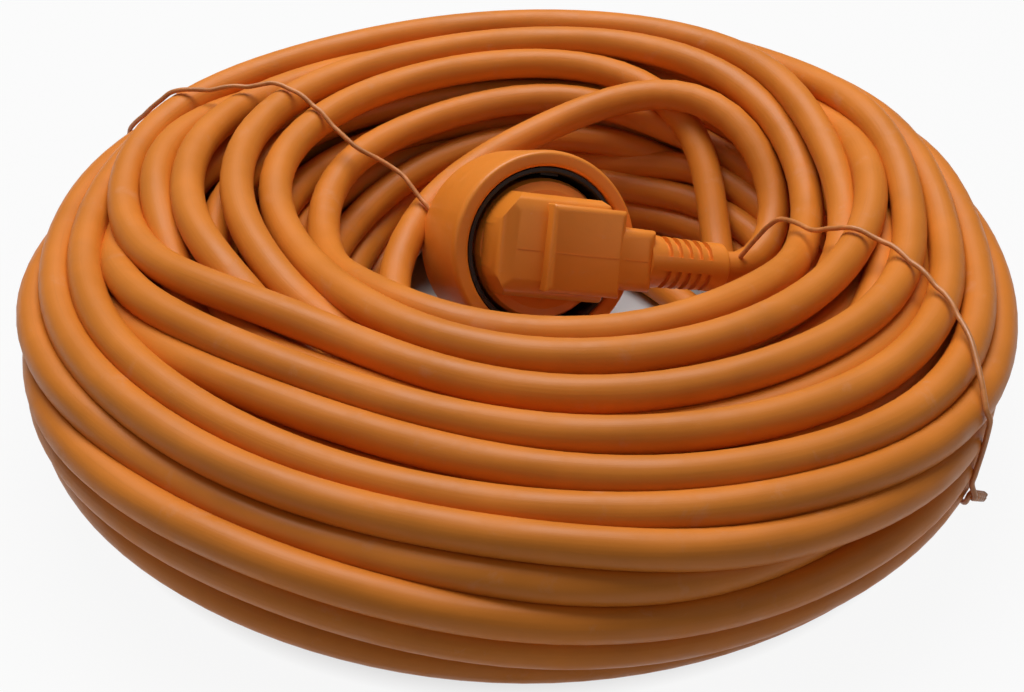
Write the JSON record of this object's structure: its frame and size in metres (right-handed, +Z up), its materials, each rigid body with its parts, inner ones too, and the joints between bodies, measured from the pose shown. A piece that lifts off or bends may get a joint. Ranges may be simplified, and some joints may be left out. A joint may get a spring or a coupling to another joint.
{
  "type": "shore power cord",
  "caption": "Orange three-core extension cord wound into a wire-tied bundle, its angled earthed plug parked in its own coupler inside the bundle.",
  "frame": {"origin": "centre of the bundle's outline on the floor that it lies on", "axes": "+Z up, the axis of the bundle; the front of the picture is -Y"},
  "size_m": [0.2495, 0.2494, 0.0634],
  "materials": {
    "cord_jacket": "satin orange soft PVC jacket",
    "moulding": "fine matt moulded orange plastic",
    "insert": "moulded black plastic",
    "contact_brass": "bright",
    "nickel_plate": "nickel plated",
    "tie_coating": "plastic-coated wire",
    "core_brown": "smooth",
    "core_blue": "smooth",
    "core_earth": "smooth"
  },
  "bodies": {
    "bundle": {"cord_coil": "cord_jacket", "hidden_turns": "cord_jacket", "lead_to_plug": "cord_jacket", "lead_to_coupler": "cord_jacket", "tie_left": "tie_coating", "tie_right": "tie_coating", "coupler_shell": "moulding", "coupler_insert": "insert", "coupler_contact_live": "contact_brass", "coupler_contact_neutral": "contact_brass", "coupler_earth_bracket": "nickel_plate", "coupler_core_live": "core_brown", "coupler_core_neutral": "core_blue", "coupler_core_earth": "core_earth", "coupler_cord_end": "cord_jacket"},
    "plug": {"plug_body": "moulding", "plug_bridge": "insert", "plug_pin_live": "nickel_plate", "plug_pin_neutral": "nickel_plate", "plug_earth_strip": "nickel_plate", "plug_earth_socket": "nickel_plate", "plug_core_live": "core_brown", "plug_core_neutral": "core_blue", "plug_core_earth": "core_earth", "plug_cord_end": "cord_jacket"}
  },
  "joints": [
    {"name": "plug_pull", "type": "slide", "parent": "bundle", "child": "plug", "axis": [0.3798, -0.8221, 0.4242], "range_m": [0, 0.02], "deforming": ["lead_to_plug"]}
  ]
}
